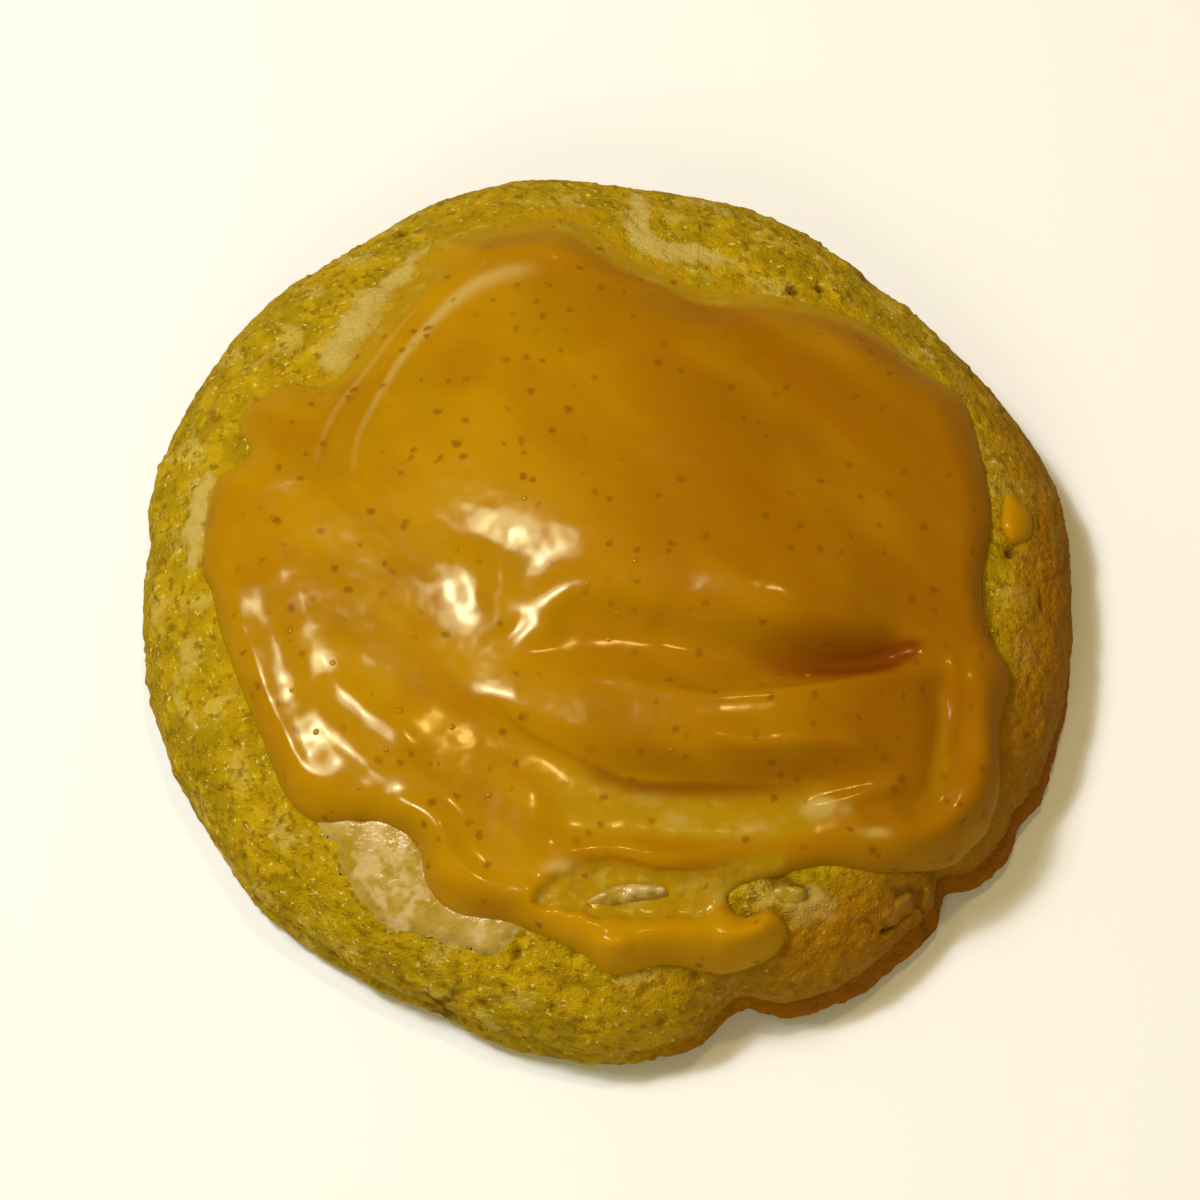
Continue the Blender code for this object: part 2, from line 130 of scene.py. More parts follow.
# The rim's distance from the middle at every 15 degrees, anticlockwise from +X
RIM_RADII = (
    43.0, 43.5, 42.2, 41.5, 42.5, 43.0, 43.5, 45.0, 44.0, 44.5, 44.5, 44.0,
    43.0, 43.0, 42.5, 42.5, 42.0, 42.5, 43.5, 42.0, 42.5, 42.0, 43.0, 43.0,
)
# Notches in the rim: bearing and half width in degrees, and depth
RIM_NOTCHES = (
    (287, 4.2, 2.0), (318, 2.6, 1.8), (331, 2.5, 0.8), (248, 5, 0.6), (51, 2.5, 0.5), (172, 2.5, 0.4),
)
# How far the foot spread and how deep the crease above it is, at every 45 degrees
FOOT_SPREAD = (0.4, 0.1, 0.0, 0.0, 0.0, 0.1, 0.2, 1.0)
CREASE_DEPTH = (0.5, 0.2, 0.1, 0.1, 0.2, 0.35, 0.3, 0.8)
FOOT_HEIGHT = 1.4
FOOT_HALF_HEIGHT = 1.1
CREASE_HEIGHT = 3.4
CREASE_HALF_HEIGHT = 0.5
CREASE_WANDER = 1.2
# The wall from the belly down to the underside: height, and how far it is drawn in
WALL_PROFILE = (
    (4.5, 0.0), (3.9, 0.1), (3.4, 0.2), (2.8, 0.2), (2.1, 0.1), (1.4, 0.1), (0.7, 0.4), (0.2, 1.0), (0, 1.8),
)
UNDERSIDE_SHARES = (0.86, 0.5, 0.0)
LUMPS = 0.35
LUMP_SIZE = 9.0
CRAGS = 0.22
CRAG_SIZE = 3.0
CRUMB = 0.16
CRUMB_SIZE = 0.9
PORE_DEPTH = 0.9
PORE_SIZE = 1.4
SPLIT_WANDER = 0.5
SPLIT_TAPER = 0.2
# Splits and cracks of the crust: depth, half width and the line each one follows
CRUST_SPLITS = (
    (0.9, 0.7, ((24.0, -31.0), (27.5, -29.5), (29.0, -31.5), (32.5, -29.0))),
    (0.7, 0.6, ((-7.0, -38.0), (-4.0, -38.8), (0.0, -40.0))),
    (0.45, 0.5, ((-20.0, -36.5), (-15.0, -38.8), (-8.0, -40.5))),
    (0.7, 0.6, ((35.3, 2.6), (37.5, 1.9), (40.0, 1.0))),
    (0.8, 0.7, ((13.5, -30.8), (16.0, -30.5), (18.5, -32.0))),
    (0.7, 0.3, ((-18.5, -38.2), (-14.8, -38.9), (-11.0, -38.6), (-7.5, -39.4))),
    (0.6, 0.3, ((22.0, -32.8), (24.5, -33.2), (26.8, -31.5), (26.3, -30.0))),
    (0.5, 0.3, ((-9.5, -42.2), (-5.5, -42.6), (-1.0, -42.4))),
    (0.4, 0.3, ((-33.5, -24.0), (-31.0, -26.5), (-27.5, -28.5))),
)
# Small holes: place in plan, radius and depth
CRUST_HOLES = (
    (-19.7, 36.2, 0.5, 1.2), (17.3, 28.1, 0.6, 1.2), (19.9, 28.7, 0.5, 1.2), (36.6, 1.6, 0.5, 0.9),
    (-4.9, -40.8, 0.5, 0.7), (-0.4, -42.0, 0.4, 0.6), (3.4, -39.4, 0.4, 0.6), (-36.9, 4.2, 0.4, 0.6),
    (-8.0, -36.6, 0.6, 1.0), (-3.0, -36.9, 0.5, 0.8), (-30.0, -22.5, 0.4, 0.5), (-35.5, -12.0, 0.4, 0.5),
)
ICING_EDGE = (
    (-37.0, 0.5), (-36.0, -2.5), (-35.0, -6.5), (-33.0, -12.0), (-30.5, -18.0), (-28.5, -22.5),
    (-25.5, -25.0), (-20.5, -25.5), (-17.0, -27.5), (-16.0, -31.0), (-13.5, -33.5), (-8.0, -34.7),
    (-2.5, -37.0), (0.5, -38.8), (5.0, -37.8), (10.0, -38.0), (14.5, -36.5), (15.8, -34.5),
    (14.3, -33.0), (12.0, -33.8), (10.6, -32.5), (11.5, -31.3), (15.5, -30.0), (19.5, -29.0),
    (24.5, -29.0), (30.0, -27.5), (33.5, -25.0), (35.3, -20.5), (35.4, -15.5), (36.4, -10.5),
    (34.5, -7.0), (34.0, -2.0), (35.1, 5.0), (34.2, 12.5), (33.0, 17.5), (28.5, 21.0), (24.0, 25.0),
    (17.0, 27.0), (10.0, 27.5), (6.0, 29.5), (2.0, 32.0), (-3.0, 36.5), (-10.0, 36.0), (-16.0, 34.5),
    (-17.5, 30.0), (-21.5, 24.0), (-25.5, 17.7), (-30.0, 18.2), (-34.0, 15.0), (-33.0, 11.0), (-36.3, 8.0),
)
GLAZE_EDGE = (
    (-26.0, -24.0), (-24.0, -28.5), (-22.4, -31.7), (-19.5, -34.2), (-16.0, -35.2), (-13.0, -36.4),
    (-9.5, -37.3), (-8.0, -35.8), (-5.0, -35.5), (-7.0, -32.0), (-14.0, -30.0), (-18.0, -25.0),
)


def ease(t):
    """From 0 to 1 with no sharp bend at either end."""
    t = np.clip(t, 0, 1)
    return t * t * (3 - 2 * t)


def around(values, bearing):
    """The value at a bearing on a smooth closed curve through values spaced evenly round a turn."""
    table = np.asarray(values, float)
    at = np.asarray(bearing, float) / (2 * math.pi) * len(table)
    whole = np.floor(at).astype(int)
    t = at - whole
    before, here, after, beyond = (table[(whole + k) % len(table)] for k in (-1, 0, 1, 2))
    curve = 2 * before - 5 * here + 4 * after - beyond + t * (3 * (here - after) + beyond - before)
    return here + 0.5 * t * (after - before + t * curve)


def crown(x, y, wider=0.0):
    """Height of the cookie's domed top over a point in plan, or of a dome whose rim lies further out."""
    share = np.minimum(np.hypot(x, y) / (around(RIM_RADII, np.arctan2(y, x)) + wider), 1.0)
    return BELLY_HEIGHT + (CROWN_HEIGHT - BELLY_HEIGHT) * np.sqrt(1 - share**CROWN_ROUNDING)


def smooth_line(points, closed=False, per_span=8):
    """The points of a smooth curve through the given ones."""
    p = np.asarray(points, float)
    if closed:
        p = np.vstack([p[-1], p, p[:2]])
    else:
        p = np.vstack([2 * p[0] - p[1], p, 2 * p[-1] - p[-2]])
    t = np.linspace(0, 1, per_span, endpoint=False)[:, None]
    spans = []
    for a, b, c, d in zip(p, p[1:], p[2:], p[3:]):
        spans.append(b + 0.5 * t * (c - a + t * (2 * a - 5 * b + 4 * c - d + t * (3 * (b - c) + d - a))))
    line = np.vstack(spans)
    return line if closed else np.vstack([line, p[-2]])


def nearest(line, x, y):
    """How far each point is from a line, on its left or not, and its place along the line from 0 to 1."""
    steps = np.hypot(*np.diff(line, axis=0).T)
    begins = np.concatenate([[0], np.cumsum(steps)])
    best = np.full(np.shape(x), np.inf)
    left = np.zeros(np.shape(x), bool)
    place = np.zeros(np.shape(x))
    for (ax, ay), (bx, by), step, begin in zip(line, line[1:], steps, begins):
        dx, dy = (bx - ax) / step, (by - ay) / step
        run = np.clip((x - ax) * dx + (y - ay) * dy, 0, step)
        away = np.hypot(x - ax - run * dx, y - ay - run * dy)
        closer = away < best
        best = np.where(closer, away, best)
        left = np.where(closer, dx * (y - ay) - dy * (x - ax) > 0, left)
        place = np.where(closer, (begin + run) / begins[-1], place)
    return best, left, place


def inside_by(edge, x, y):
    """How far inside a closed edge each point is; less than nothing outside it."""
    line = smooth_line(edge, closed=True)
    line = np.vstack([line, line[0]])
    away, _, _ = nearest(line, x, y)
    crossings = np.zeros(np.shape(x), int)
    for (ax, ay), (bx, by) in zip(line, line[1:]):
        spans = (ay > y) != (by > y)
        level = np.divide((y - ay) * (bx - ax), by - ay, out=np.zeros(np.shape(x)), where=spans)
        crossings += spans & (x < ax + level)
    return np.where(crossings % 2 == 1, away, -away)


def rough(points, size, seed=0.0):
    """Smooth noise between about -1 and 1 at each point, with features of a size in millimetres."""
    shift = Vector((seed, 2 * seed, -seed))
    return np.array([noise.noise(Vector(p) / size + shift) for p in points])


def crust_outline(rings, wall_rings):
    """Half outline of the cookie, as radius and height, from the middle of its top to under its middle."""
    radius = COOKIE_WIDTH / 2
    outline = []
    for k in range(rings + 1):
        turn = 0.5 * math.pi * k / rings
        share = math.sin(turn) ** (2 / CROWN_ROUNDING)
        outline.append((radius * share, BELLY_HEIGHT + (CROWN_HEIGHT - BELLY_HEIGHT) * math.cos(turn)))
    wall = np.array(WALL_PROFILE)
    for at in np.linspace(0, len(wall) - 1, wall_rings)[1:]:
        height, inset = (np.interp(at, range(len(wall)), column) for column in wall.T)
        outline.append((radius - inset, height))
    for share in UNDERSIDE_SHARES:
        outline.append((radius * share, 0.0))
    return outline


crust_mesh = bmesh.new()
half_outline = [crust_mesh.verts.new((r, 0, z)) for r, z in crust_outline(rings=88, wall_rings=18)]
for upper, lower in zip(half_outline, half_outline[1:]):
    crust_mesh.edges.new((upper, lower))
bmesh.ops.spin(
    crust_mesh, geom=crust_mesh.verts[:] + crust_mesh.edges[:], cent=(0, 0, 0), axis=(0, 0, 1),
    angle=2 * math.pi, steps=720, use_merge=True,
)
bmesh.ops.remove_doubles(crust_mesh, verts=crust_mesh.verts, dist=0.001)
bmesh.ops.recalc_face_normals(crust_mesh, faces=crust_mesh.faces)
crust_mesh.normal_update()
places = np.array([v.co for v in crust_mesh.verts])
outward = np.array([v.normal for v in crust_mesh.verts])
bearing = np.arctan2(places[:, 1], places[:, 0])
height = places[:, 2]
share = np.hypot(places[:, 0], places[:, 1]) / (COOKIE_WIDTH / 2)
wall = ease((share - 0.9) / 0.05)
foot = around(FOOT_SPREAD, bearing) * np.exp(-(((height - FOOT_HEIGHT) / FOOT_HALF_HEIGHT) ** 2))
on_ring = np.stack([3 * np.cos(bearing), 3 * np.sin(bearing), 0 * bearing], axis=1)
above_crease = height - CREASE_HEIGHT - CREASE_WANDER * rough(on_ring, 1.0)
crease = around(CREASE_DEPTH, bearing) * np.exp(-((above_crease / CREASE_HALF_HEIGHT) ** 2))
notch = np.zeros(len(places))
for centre, half_width, depth in RIM_NOTCHES:
    turn = (np.degrees(bearing) - centre + 180) % 360 - 180
    notch += depth * np.exp(-((turn / half_width) ** 2))
radius = share * around(RIM_RADII, bearing) + wall * (foot - crease) - notch * ease((share - 0.85) / 0.15)
x, y = radius * np.cos(bearing), radius * np.sin(bearing)
places[:, 0], places[:, 1] = x, y
bare = ease(height / 1.5)
for edge in (ICING_EDGE, GLAZE_EDGE):
    bare = bare * ease((0.8 - inside_by(edge, x, y)) / 1.6)
drop = np.zeros(len(places))
wander_x = SPLIT_WANDER * rough(places, 1.3)
wander_y = SPLIT_WANDER * rough(places, 1.3, 5.0)
for depth, half_width, points in CRUST_SPLITS:
    away, _, place = nearest(smooth_line(points), x + wander_x, y + wander_y)
    split = depth * np.exp(-((away / half_width) ** 2))
    drop += split * ease(place / SPLIT_TAPER) * ease((1 - place) / SPLIT_TAPER)
for hole_x, hole_y, hole_radius, depth in CRUST_HOLES:
    drop += depth * np.exp(-(((x - hole_x) ** 2 + (y - hole_y) ** 2) / hole_radius**2) ** 2)
turbulence = np.array([noise.turbulence(Vector(p) / CRAG_SIZE, 2, False) for p in places])
crumbly = 0.6 + 0.8 * ease(0.5 + rough(places, 5.0, 3.0))
relief = LUMPS * rough(places, LUMP_SIZE) + CRAGS * turbulence
relief += CRUMB * crumbly * (rough(places, CRUMB_SIZE, 1.0) + 0.6 * rough(places, 0.5 * CRUMB_SIZE, 2.0))
pores = np.clip(-rough(places, PORE_SIZE, 7.0) - 0.35, 0, None)
relief -= PORE_DEPTH * pores * crumbly
places += outward * (bare * relief)[:, None]
places[:, 2] -= drop * bare * ease((height - BELLY_HEIGHT) / 3)
for vertex, place in zip(crust_mesh.verts, places):
    vertex.co = place


def between(tree, value, low, high):
    """A value turned into 0 at one level and 1 at another, with no sharp bend at either."""
    ramp = tree.nodes.new("ShaderNodeMapRange")
    ramp.interpolation_type = "SMOOTHSTEP"
    ramp.inputs["From Min"].default_value = low
    ramp.inputs["From Max"].default_value = high
    tree.links.new(value, ramp.inputs["Value"])
    return ramp.outputs["Result"]


def spots_of(tree, size, low, high, detail=3.0):
    """A noise pattern in millimetres over the piece, from 0 to 1, that turns on between two levels."""
    source = tree.nodes.new("ShaderNodeTexCoord")
    pattern = tree.nodes.new("ShaderNodeTexNoise")
    pattern.inputs["Scale"].default_value = 1 / (size * MM)
    pattern.inputs["Detail"].default_value = detail
    tree.links.new(source.outputs["Object"], pattern.inputs["Vector"])
    return between(tree, pattern.outputs["Fac"], low, high)


def streaks_of(tree, size, stretch, bearing, low, high):
    """A noise pattern drawn out into streaks along a bearing in degrees, from 0 to 1 between two levels."""
    source = tree.nodes.new("ShaderNodeTexCoord")
    turned = tree.nodes.new("ShaderNodeMapping")
    turned.inputs["Rotation"].default_value = (0, 0, -math.radians(bearing))
    drawn_out = tree.nodes.new("ShaderNodeMapping")
    drawn_out.inputs["Scale"].default_value = (1 / stretch, 1, 1)
    pattern = tree.nodes.new("ShaderNodeTexNoise")
    pattern.inputs["Scale"].default_value = 1 / (size * MM)
    pattern.inputs["Detail"].default_value = 2.0
    tree.links.new(source.outputs["Object"], turned.inputs["Vector"])
    tree.links.new(turned.outputs["Vector"], drawn_out.inputs["Vector"])
    tree.links.new(drawn_out.outputs["Vector"], pattern.inputs["Vector"])
    return between(tree, pattern.outputs["Fac"], low, high)


def amount_of(tree, attribute, low, high):
    """A value stored on the mesh, from 0 to 1 between two levels."""
    stored = tree.nodes.new("ShaderNodeAttribute")
    stored.attribute_name = attribute
    return between(tree, stored.outputs["Fac"], low, high)


def part_of(tree, amount, share):
    """A pattern made weaker, by a number or by another pattern."""
    weaker = tree.nodes.new("ShaderNodeMath")
    weaker.operation = "MULTIPLY"
    tree.links.new(amount, weaker.inputs[0])
    if isinstance(share, float):
        weaker.inputs[1].default_value = share
    else:
        tree.links.new(share, weaker.inputs[1])
    return weaker.outputs["Value"]


def tinted(tree, under, colour, amount, share=1.0):
    """A colour laid over another, by a pattern or by a share of it."""
    mix = tree.nodes.new("ShaderNodeMix")
    mix.data_type = "RGBA"
    if isinstance(under, tuple):
        mix.inputs["A"].default_value = (*under, 1.0)
    else:
        tree.links.new(under, mix.inputs["A"])
    mix.inputs["B"].default_value = (*colour, 1.0)
    if share < 1.0:
        amount = part_of(tree, amount, share)
    tree.links.new(amount, mix.inputs["Factor"])
    return mix.outputs["Result"]


def bumped(tree, shader, *layers):
    """Fine relief on a shader: each layer is a pattern and its height in millimetres."""
    below = None
    for pattern, rise in layers:
        bump = tree.nodes.new("ShaderNodeBump")
        bump.inputs["Distance"].default_value = rise * MM
        tree.links.new(pattern, bump.inputs["Height"])
        if below is not None:
            tree.links.new(below, bump.inputs["Normal"])
        below = bump.outputs["Normal"]
    tree.links.new(below, shader.inputs["Normal"])


def store(piece, attribute, values):
    """Keeps one value for each point of a piece's mesh."""
    data = piece.data.attributes.new(attribute, "FLOAT", "POINT")
    data.data.foreach_set("value", np.asarray(values, np.float32))


crust_finish, tree, shader = blank_material("baked crust", 0.75)
shader.inputs["Specular IOR Level"].default_value = 0.06
# Dough in two shades of mustard, paler crumb, darker crumb painted as pore shade, sugar painted as glints
colour = tinted(tree, (0.37, 0.245, 0.0015), (0.29, 0.20, 0.001), spots_of(tree, 5.0, 0.40, 0.60, detail=5.0))
colour = tinted(tree, colour, (0.45, 0.31, 0.003), spots_of(tree, 2.2, 0.45, 0.68, detail=4.0), 0.8)
colour = tinted(tree, colour, (0.52, 0.41, 0.09), spots_of(tree, 4.0, 0.53, 0.66, detail=9.0), 0.5)
# Darker crumb, which also stands for the painted shade in fine pores
colour = tinted(tree, colour, (0.20, 0.11, 0.001), spots_of(tree, 0.9, 0.52, 0.67, detail=5.0), 0.8)
# Pale grains of sugar, painted bright to stand for their glints
colour = tinted(tree, colour, (0.66, 0.55, 0.16), spots_of(tree, 0.5, 0.62, 0.72), 0.8)
# Remains of pale glaze, smeared icing, browning and painted shade, and painted shade in splits and pores
colour = tinted(tree, colour, (0.46, 0.36, 0.10), amount_of(tree, "glazed", 0.0, 1.0), 0.85)
colour = tinted(tree, colour, (0.37, 0.225, 0.002), amount_of(tree, "smeared", 0.2, 0.9), 0.85)
colour = tinted(tree, colour, (0.26, 0.095, 0.002), amount_of(tree, "baked_and_shaded", 0.0, 1.0))
colour = tinted(tree, colour, (0.12, 0.05, 0.002), amount_of(tree, "sunk", 0.25, 1.2), 0.85)
tree.links.new(colour, shader.inputs["Base Color"])
shader.inputs["Subsurface Weight"].default_value = 0.08
shader.inputs["Subsurface Radius"].default_value = (1.0, 0.6, 0.15)
shader.inputs["Subsurface Scale"].default_value = 1.0 * MM
coarse_grain = spots_of(tree, 0.9, 0.25, 0.75, detail=6.0)
fine_grain = spots_of(tree, 0.25, 0.3, 0.7, detail=1.0)
bumped(tree, shader, (coarse_grain, 0.17), (fine_grain, 0.05))
crust = place_piece(crust_mesh, "crust", crust_finish)
# The oven browned the foot a little all round, and the foot and rim at the right more
# That side faces away from the window, so its extra darkness is partly browning and partly painted shade
low_down = ease((6.0 - height) / 6.0)
to_the_right = ease((np.cos(bearing + math.radians(25)) - 0.15) / 0.8)
darker_and_browner = low_down * (0.05 + 0.5 * to_the_right) + 0.7 * to_the_right * ease((share - 0.75) / 0.2)
store(crust, "baked_and_shaded", np.clip(darker_and_browner, 0, 1))
store(crust, "sunk", drop + 1.5 * pores)
# How much of the icing is smeared over the crust outside its edge, at every 45 degrees
EDGE_SMEARS = (0.1, 0.7, 1.0, 0.8, 0.1, 0.0, 0.0, 0.0)
patchy = 0.75 + 0.9 * rough(places, 2.5, 31.0)
# The thinnest remains of an older, pale glaze, which only whiten the crust round the icing
PALE_SMEARS = (
    ((2.0, 40.5), (1.4, 35.0), (3.0, 31.5), (9.0, 30.3), (12.8, 31.0), (9.0, 33.2), (4.6, 34.2), (3.8, 39.6)),
    ((-16.2, 33.6), (-19.4, 28.5), (-21.6, 23.4), (-24.6, 18.2), (-26.8, 20.0), (-24.9, 24.6),
     (-22.0, 28.8), (-18.7, 33.0)),
    ((-37.1, 10.0), (-39.0, 5.0), (-38.0, 0.0), (-36.9, 1.0), (-36.4, 5.0), (-36.0, 9.0)),
    ((14.5, -31.6), (16.5, -30.6), (20.0, -31.2), (19.6, -33.4), (16.8, -33.8)),
)
frayed = 0.8 * rough(places, 1.6, 51.0) + 0.5 * rough(places, 0.7, 52.0)
glazed = np.max([ease((inside_by(edge, x, y) + frayed + 0.3) / 1.2) for edge in PALE_SMEARS], axis=0)
store(crust, "glazed", glazed)
store(crust, "smeared", patchy * around(EDGE_SMEARS, bearing) * ease(1 + inside_by(ICING_EDGE, x, y) / 3.5))
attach(crust, "root")
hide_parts("cookie")

# The icing is thick caramel-coloured sugar icing, dropped on the warm cookie and pulled about with a
# palette knife. It sets glossy, in layers that fold over each other, with a rounded edge on the crust.
# The front and left runs are thin enough to show the pale glaze under them.
ICING_THICKNESS = 1.7
THINNEST_ICING = 0.75
THINNING_SOFTNESS = 0.4
RIM_CLEARANCE = 1.0
OVERHANG = 1.2
# The icing's edge starts a little below the crust, and its underside lies deeper in it
SUNK_EDGE = -0.1
SEAT = 0.4
STROKE_TAPER = 0.15
# A stroke adds next to nothing further from its line than this many of its widths
STROKE_REACH = 2.5
# How wide the rounded edge is at every 45 degrees
EDGE_ROUNDINGS = (2.4, 5.5, 7.0, 5.0, 2.0, 1.8, 1.8, 2.4)
# Broad mounds of the icing: height, middle in plan and reach
MOUNDS = ((2.9, (3.0, 9.0), (15.5, 14.0)), (2.2, (17.0, -4.0), (11.5, 8.0)))
# The strokes of the knife: heights from one end to the other, widths on the left and on the right of the
# line, and the line itself. A width is one value, or several along the line.
STROKES = {
    "top layer lip": (
        (0.15, 0.45, 0.7, 0.9, 1.3, 1.5, 1.2), (4.0, 4.5, 5.0, 5.0, 5.0, 4.5, 3.5),
        (6.0, 6.0, 5.0, 3.8, 2.8, 2.2, 2.0),
        ((-14.5, 1.5), (-8.5, 2.4), (-1.5, -1.0), (5.0, -4.4), (11.0, -6.8), (17.0, -8.0), (22.0, -8.2),
         (27.0, -7.6)),
    ),
    "curl rim": (
        (0.15, 0.45, 0.45, 0.1), 2.2, 3.2, ((-8.6, -9.5), (-11.0, -6.0), (-12.4, -2.6), (-12.2, 0.2)),
    ),
    "fold below the lip": (
        (-0.2, -0.8, -1.6, -2.1, -1.5), 1.6, (3.0, 2.6, 2.2, 1.8, 1.5),
        ((-2.0, -5.5), (4.0, -8.8), (10.0, -10.7), (16.5, -11.5), (22.5, -11.2), (26.0, -9.9), (28.5, -8.0)),
    ),
    "inner curl": (
        (0.5, 0.9, 0.5), 2.6, 1.6,
        ((-5.0, -11.0), (-5.6, -7.5), (-2.6, -5.6), (1.6, -6.9), (5.5, -9.0)),
    ),
    "second layer crest": (
        (0.0, 0.3, 0.9, 1.3, 1.3, 1.1), 2.0, 3.2,
        ((-13.5, -8.5), (-10.7, -10.7), (-5.0, -13.3), (1.2, -14.2), (8.7, -16.0), (16.5, -15.4),
         (24.5, -13.4), (29.3, -12.1)),
    ),
    "third layer lip": (
        (0.1, 0.7, 1.4, 1.6, 1.2), 4.5, 1.8,
        ((-14.5, -12.5), (-6.0, -17.1), (0.0, -18.8), (8.1, -19.9), (17.6, -19.5), (23.0, -19.6),
         (26.2, -22.0)),
    ),
    "furrow below the third": (
        (-0.4, -0.9, -1.1, -0.6), 1.6, 3.6,
        ((-15.5, -13.5), (-11.0, -17.0), (-5.1, -20.0), (-0.7, -22.2), (6.0, -23.2), (14.0, -23.2),
         (21.4, -22.3), (25.0, -23.5)),
    ),
    "thin front": (
        (-0.7, -1.0, -0.8), 3.0, 2.6,
        ((-7.0, -26.0), (0.0, -26.5), (8.0, -26.5), (15.0, -26.0), (21.0, -25.5)),
    ),
    "front film": (
        (-1.4, -1.7, -1.4), 2.2, 1.8,
        ((-4.0, -31.5), (1.0, -32.3), (6.0, -32.5), (10.0, -31.5), (17.0, -29.5)),
    ),
    "tail": (
        (0.5, 0.8, 0.7), 1.6, 1.5,
        ((-9.0, -32.0), (-4.0, -34.0), (0.6, -36.8), (5.0, -36.4), (10.0, -36.2), (13.3, -35.2),
         (15.0, -33.4)),
    ),
    "right lobe": (
        (1.0, 0.8, 1.0, 0.8), 1.6, 1.8,
        ((31.5, -9.5), (33.3, -12.5), (34.0, -17.5), (33.0, -22.5), (29.5, -26.0), (23.5, -27.5)),
    ),
    "right lobe groove": (
        (-0.9, -1.0, -0.6), 1.6, 1.6,
        ((29.0, -11.5), (30.0, -15.5), (29.6, -19.7), (28.5, -23.0), (25.0, -25.3)),
    ),
    "left lip": (
        (0.25, 0.3, 0.45), 2.0, 1.5,
        ((-35.4, 1.0), (-33.9, -4.0), (-32.0, -9.5), (-30.0, -15.0), (-27.2, -21.0), (-22.5, -24.0)),
    ),
    "left furrow": (
        (-0.15, -0.2, -0.2), 2.2, 2.2,
        ((-34.0, 4.0), (-31.6, -3.5), (-29.3, -10.0), (-26.5, -16.0), (-22.0, -20.5)),
    ),
    "left ridge": (
        (0.2, 0.3, 0.45), 3.2, 2.6,
        ((-32.5, 5.0), (-30.0, -2.0), (-27.0, -9.0), (-24.2, -14.0), (-19.5, -18.3), (-16.0, -22.5)),
    ),
    "back groove": (
        (-0.4, -0.6, -0.7, -0.6, -0.3), 1.8, 2.4,
        ((-25.0, 3.0), (-23.3, 8.0), (-21.2, 14.3), (-17.3, 21.6), (-13.0, 26.0), (-4.4, 27.6), (3.0, 26.0),
         (12.0, 23.8), (21.4, 20.3)),
    ),
    "back rim": (
        (0.3, 0.5, 0.3), 1.8, 1.5,
        ((-22.5, 17.0), (-17.0, 26.0), (-12.0, 30.2), (-4.0, 30.6), (4.0, 28.0), (12.0, 26.0)),
    ),
    "mound edge": (
        (0.3, 0.5, 0.5, 0.3), 0.6, 3.5,
        ((-21.5, 12.0), (-18.5, 19.0), (-14.3, 25.0), (-8.8, 28.1), (0.4, 27.8), (8.6, 25.6), (15.2, 23.8),
         (19.5, 20.0)),
    ),
    "front left bead": (
        (0.4, 0.9, 1.0, 0.6), 1.7, 1.5,
        ((-21.0, -24.3), (-15.8, -26.0), (-13.8, -30.0), (-10.5, -32.5), (-5.0, -33.5)),
    ),
    "front step": (
        (0.3, 0.5, 0.5, 0.4), 1.8, 0.4,
        ((-6.0, -29.8), (0.4, -29.1), (4.5, -29.9), (8.5, -29.7), (12.0, -28.8), (17.0, -28.0)),
    ),
    "crown furrow": ((-0.15, -0.3, -0.2), 3.2, 3.2, ((-2.5, 14.5), (2.0, 9.5), (5.5, 4.0), (8.0, -1.5))),
    "right furrow": ((-0.3, -0.5, -0.3), 3.4, 3.4, ((11.0, 19.0), (15.5, 14.5), (20.5, 9.5), (27.0, 5.0))),
}
# The finest marks, which only the knife's edge and the last drips leave
FINE_STROKES = {
    "crest line": (
        (0.15, 0.3, 0.35, 0.3), 0.35, 0.6,
        ((-4.0, -12.6), (1.2, -13.9), (8.7, -15.6), (16.5, -15.0), (24.5, -13.0), (28.5, -12.0)),
    ),
    "third crest line": (
        (0.2, 0.35, 0.3), 0.4, 0.6,
        ((8.1, -17.8), (9.0, -19.4), (12.5, -20.1), (17.6, -19.5), (23.0, -19.6), (26.0, -22.0)),
    ),
    "small front crest": (
        (0.3, 0.4, 0.3), 0.5, 0.9,
        ((26.2, -20.5), (25.4, -22.5), (22.3, -23.7), (16.9, -25.1)),
    ),
    "outer left crest": (
        (0.05, 0.1, 0.3), 0.7, 0.9,
        ((-34.4, -4.2), (-32.8, -8.6), (-30.9, -13.4), (-28.6, -18.5), (-26.0, -22.5)),
    ),
    "third left crest": (
        (0.1, 0.22, 0.22, 0.1), 1.2, 2.8,
        ((-25.5, -12.0), (-22.4, -15.6), (-18.6, -18.2), (-16.6, -21.0), (-15.2, -23.6)),
    ),
    "fourth left crest": (
        (0.1, 0.22, 0.2), 1.0, 2.4,
        ((-28.0, -15.0), (-25.5, -18.6), (-22.6, -21.6), (-19.5, -24.2)),
    ),
    "tail crest": ((0.5, 0.9, 0.5), 0.7, 0.8, ((-4.6, -35.6), (-2.4, -36.9), (0.0, -37.5), (2.5, -37.2))),
    "hook crest": ((0.4, 0.8, 0.5), 0.7, 0.9, ((9.0, -37.0), (12.4, -36.3), (14.6, -35.0))),
    "lobe streak": ((0.3, 0.4, 0.2), 0.5, 0.5, ((30.6, -9.5), (31.0, -12.5), (30.8, -16.0), (30.3, -19.5))),
    "back streak": (
        (-0.25, -0.35, -0.25), 0.4, 0.5,
        ((-26.5, 5.0), (-25.5, 10.0), (-23.5, 15.0), (-19.5, 21.8), (-15.5, 26.5)),
    ),
}


def along(values, place):
    """The value at a place from 0 to 1 on a smooth curve through evenly spaced values, or the one value."""
    if isinstance(values, float):
        return values
    curve = smooth_line([(k / (len(values) - 1), value) for k, value in enumerate(values)])
    return np.interp(place, curve[:, 0], curve[:, 1])


